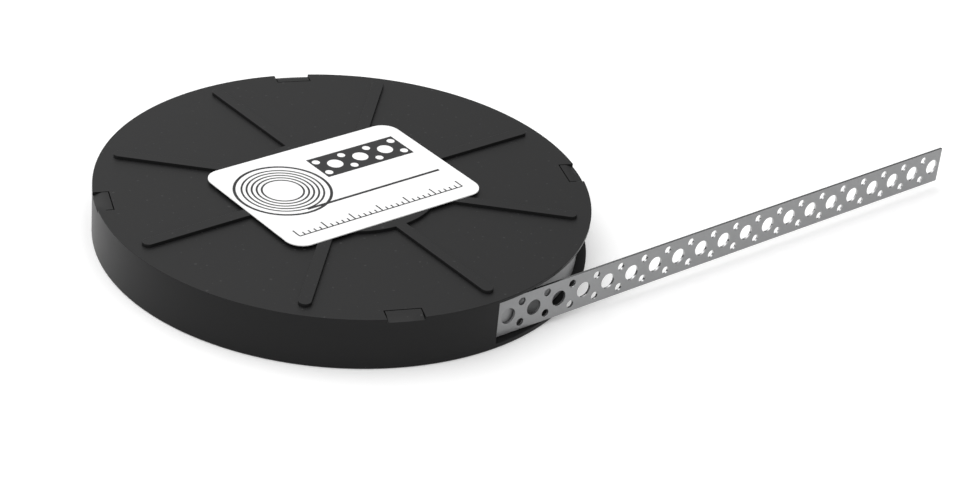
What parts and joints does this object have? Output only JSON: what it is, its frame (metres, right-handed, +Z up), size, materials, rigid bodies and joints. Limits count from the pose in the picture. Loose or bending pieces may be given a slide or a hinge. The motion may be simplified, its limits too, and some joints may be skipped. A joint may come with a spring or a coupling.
{
  "type": "perforated steel strap in a dispenser case",
  "caption": "Perforated galvanised steel strap coiled on edge in a flat round plastic dispenser case, its free end drawn straight out of the side.",
  "frame": {"origin": "centre of the case's underside, on the surface that the case lies on", "axes": "+Z up through the lid; +X along the strap's free end, away from the case"},
  "size_m": [0.265, 0.15, 0.0177],
  "materials": {
    "case_plastic": "black moulded plastic, finely textured",
    "label_paper": "matt white sticker, printed in black",
    "strap_steel": "galvanised sheet steel, dull grey"
  },
  "bodies": {
    "root": {"case_base": "case_plastic", "case_lid": "case_plastic", "label": "label_paper", "strap": "strap_steel"}
  },
  "joints": []
}
